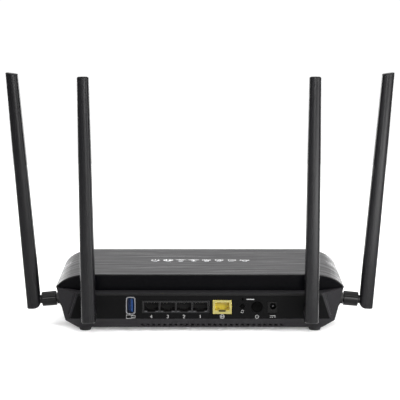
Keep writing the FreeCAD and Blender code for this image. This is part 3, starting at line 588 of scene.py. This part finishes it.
def face_plate(name, place, material):
    """A thin frame over a socket's face, from the notched mouth out to the face's edge."""
    inner = [
        (-NOTCH_HALF, NOTCH_LOW), (NOTCH_HALF, NOTCH_LOW), (NOTCH_HALF, 0), (MOUTH_HALF, 0),
        (MOUTH_HALF, MOUTH_TOP), (-MOUTH_HALF, MOUTH_TOP), (-MOUTH_HALF, 0), (-NOTCH_HALF, 0),
    ]
    outer = [
        (-NOTCH_HALF, PLATE_LOW), (NOTCH_HALF, PLATE_LOW), (PLATE_HALF, PLATE_LOW), (PLATE_HALF, 0),
        (PLATE_HALF, PLATE_TOP), (-PLATE_HALF, PLATE_TOP), (-PLATE_HALF, 0), (-PLATE_HALF, PLATE_LOW),
    ]
    work = bmesh.new()
    loops = []
    for outline, rise in ((inner, 0.0), (inner, PLATE_RISE), (outer, PLATE_RISE), (outer, 0.0)):
        loops.append([work.verts.new(place(u, v, rise)) for u, v in outline])
    count = len(inner)
    for a, b in zip(loops, loops[1:]):
        for k in range(count):
            work.faces.new((a[k], b[k], b[(k + 1) % count], a[(k + 1) % count]))
    bmesh.ops.recalc_face_normals(work, faces=work.faces)
    mesh_data = bpy.data.meshes.new(name)
    work.to_mesh(mesh_data)
    work.free()
    return finish_piece(name, mesh_data, material, "router_body")


def socket_rims():
    """Thin raised rims round the dark sockets, painted lighter as edge highlights, and the pale face of
    the single one.
    """
    corners = [(-RIM_HALF, RIM_LOW), (RIM_HALF, RIM_LOW), (RIM_HALF, RIM_TOP), (-RIM_HALF, RIM_TOP)]
    rim = [(corners, True)]
    tabs = [
        ([(-TAB_OUTER, TAB_Z), (-TAB_INNER, TAB_Z)], False),
        ([(TAB_INNER, TAB_Z), (TAB_OUTER, TAB_Z)], False),
    ]
    for i, x in enumerate(lan_xs):
        place = on_face(x, LAN_MOUTH_Z)
        strokes("lan_rim_%d" % i, rim, RIM_WIDTH, place, "router_body", rim_highlight, RIM_RISE)
        strokes("lan_tab_%d" % i, tabs, TAB_WIDTH, place, "router_body", tab_highlight, TAB_RISE)
    wan_x = middle("wan_socket").x
    face_plate("wan_face", on_face(wan_x, WAN_MOUTH_Z), rim_yellow)
    # painted shade: a dark sheet just behind the face fills the latch notch, where the socket's hollow
    # lies in shade
    bar = [([(-SLOT_HALF, 0), (SLOT_HALF, 0)], False)]
    slot = on_face(wan_x, LATCH_SLOT_Z, LATCH_SLOT_DEPTH)
    strokes("wan_latch_shade", bar, SLOT_HEIGHT, slot, "router_body", latch_shade)


panel_marks()
cover_marks()
socket_rims()


# ------------------------------------------------------------------ stage, light and camera
def build_floor():
    """A plain pale disc under and around the object."""
    work = bmesh.new()
    bmesh.ops.create_circle(work, cap_ends=True, segments=96, radius=FLOOR_RADIUS)
    data = bpy.data.meshes.new("floor")
    work.to_mesh(data)
    work.free()
    floor = bpy.data.objects.new("floor", data)
    bpy.context.scene.collection.objects.link(floor)
    pale = new_material("floor_pale", (FLOOR_TONE, FLOOR_TONE, FLOOR_TONE), 0.8, 0.0, 0.1)
    shader = pale.node_tree.nodes["Principled BSDF"]
    shader.inputs["Emission Color"].default_value = (1, 1, 1, 1)
    shader.inputs["Emission Strength"].default_value = FLOOR_GLOW
    data.materials.append(pale)


def soft_light(name, position, size, power):
    """A rectangular soft light that faces the object."""
    data = bpy.data.lights.new(name, "AREA")
    data.shape = "RECTANGLE"
    data.size = size[0]
    data.size_y = size[1]
    data.energy = power
    lamp = bpy.data.objects.new(name, data)
    lamp.location = position
    aim = Vector(LIGHT_TARGET) - Vector(position)
    lamp.rotation_euler = aim.to_track_quat("-Z", "Y").to_euler()
    lamp.visible_camera = False
    bpy.context.scene.collection.objects.link(lamp)


def build_world():
    """White behind the object, and a softer fill for its light."""
    world = bpy.data.worlds.new("studio")
    world.use_nodes = True
    tree = world.node_tree
    fill = tree.nodes["Background"]
    fill.inputs["Color"].default_value = (1, 1, 1, 1)
    fill.inputs["Strength"].default_value = WORLD_FILL
    seen = tree.nodes.new("ShaderNodeBackground")
    seen.inputs["Color"].default_value = (1, 1, 1, 1)
    seen.inputs["Strength"].default_value = WORLD_SEEN
    path = tree.nodes.new("ShaderNodeLightPath")
    mix = tree.nodes.new("ShaderNodeMixShader")  # input 0 is the factor, 1 and 2 are its two shaders
    tree.links.new(path.outputs["Is Camera Ray"], mix.inputs[0])
    tree.links.new(fill.outputs["Background"], mix.inputs[1])
    tree.links.new(seen.outputs["Background"], mix.inputs[2])
    tree.links.new(mix.outputs["Shader"], tree.nodes["World Output"].inputs["Surface"])
    bpy.context.scene.world = world


def build_camera():
    """The camera, square to the connector panel and a little above it."""
    data = bpy.data.cameras.new("camera")
    data.sensor_width = CAMERA_SENSOR_MM
    data.lens = CAMERA_LENS_MM
    camera = bpy.data.objects.new("camera", data)
    camera.location = (0.0, PANEL_Y - CAMERA_DISTANCE, CAMERA_HEIGHT)
    camera.rotation_euler = Euler((math.radians(90 - CAMERA_PITCH), 0, 0))
    bpy.context.scene.collection.objects.link(camera)
    bpy.context.scene.camera = camera


bpy.context.scene.view_settings.view_transform = "Standard"
build_floor()
build_world()
for light_name, (light_place, light_size, watts) in LIGHTS.items():
    soft_light(light_name, light_place, light_size, watts)
build_camera()
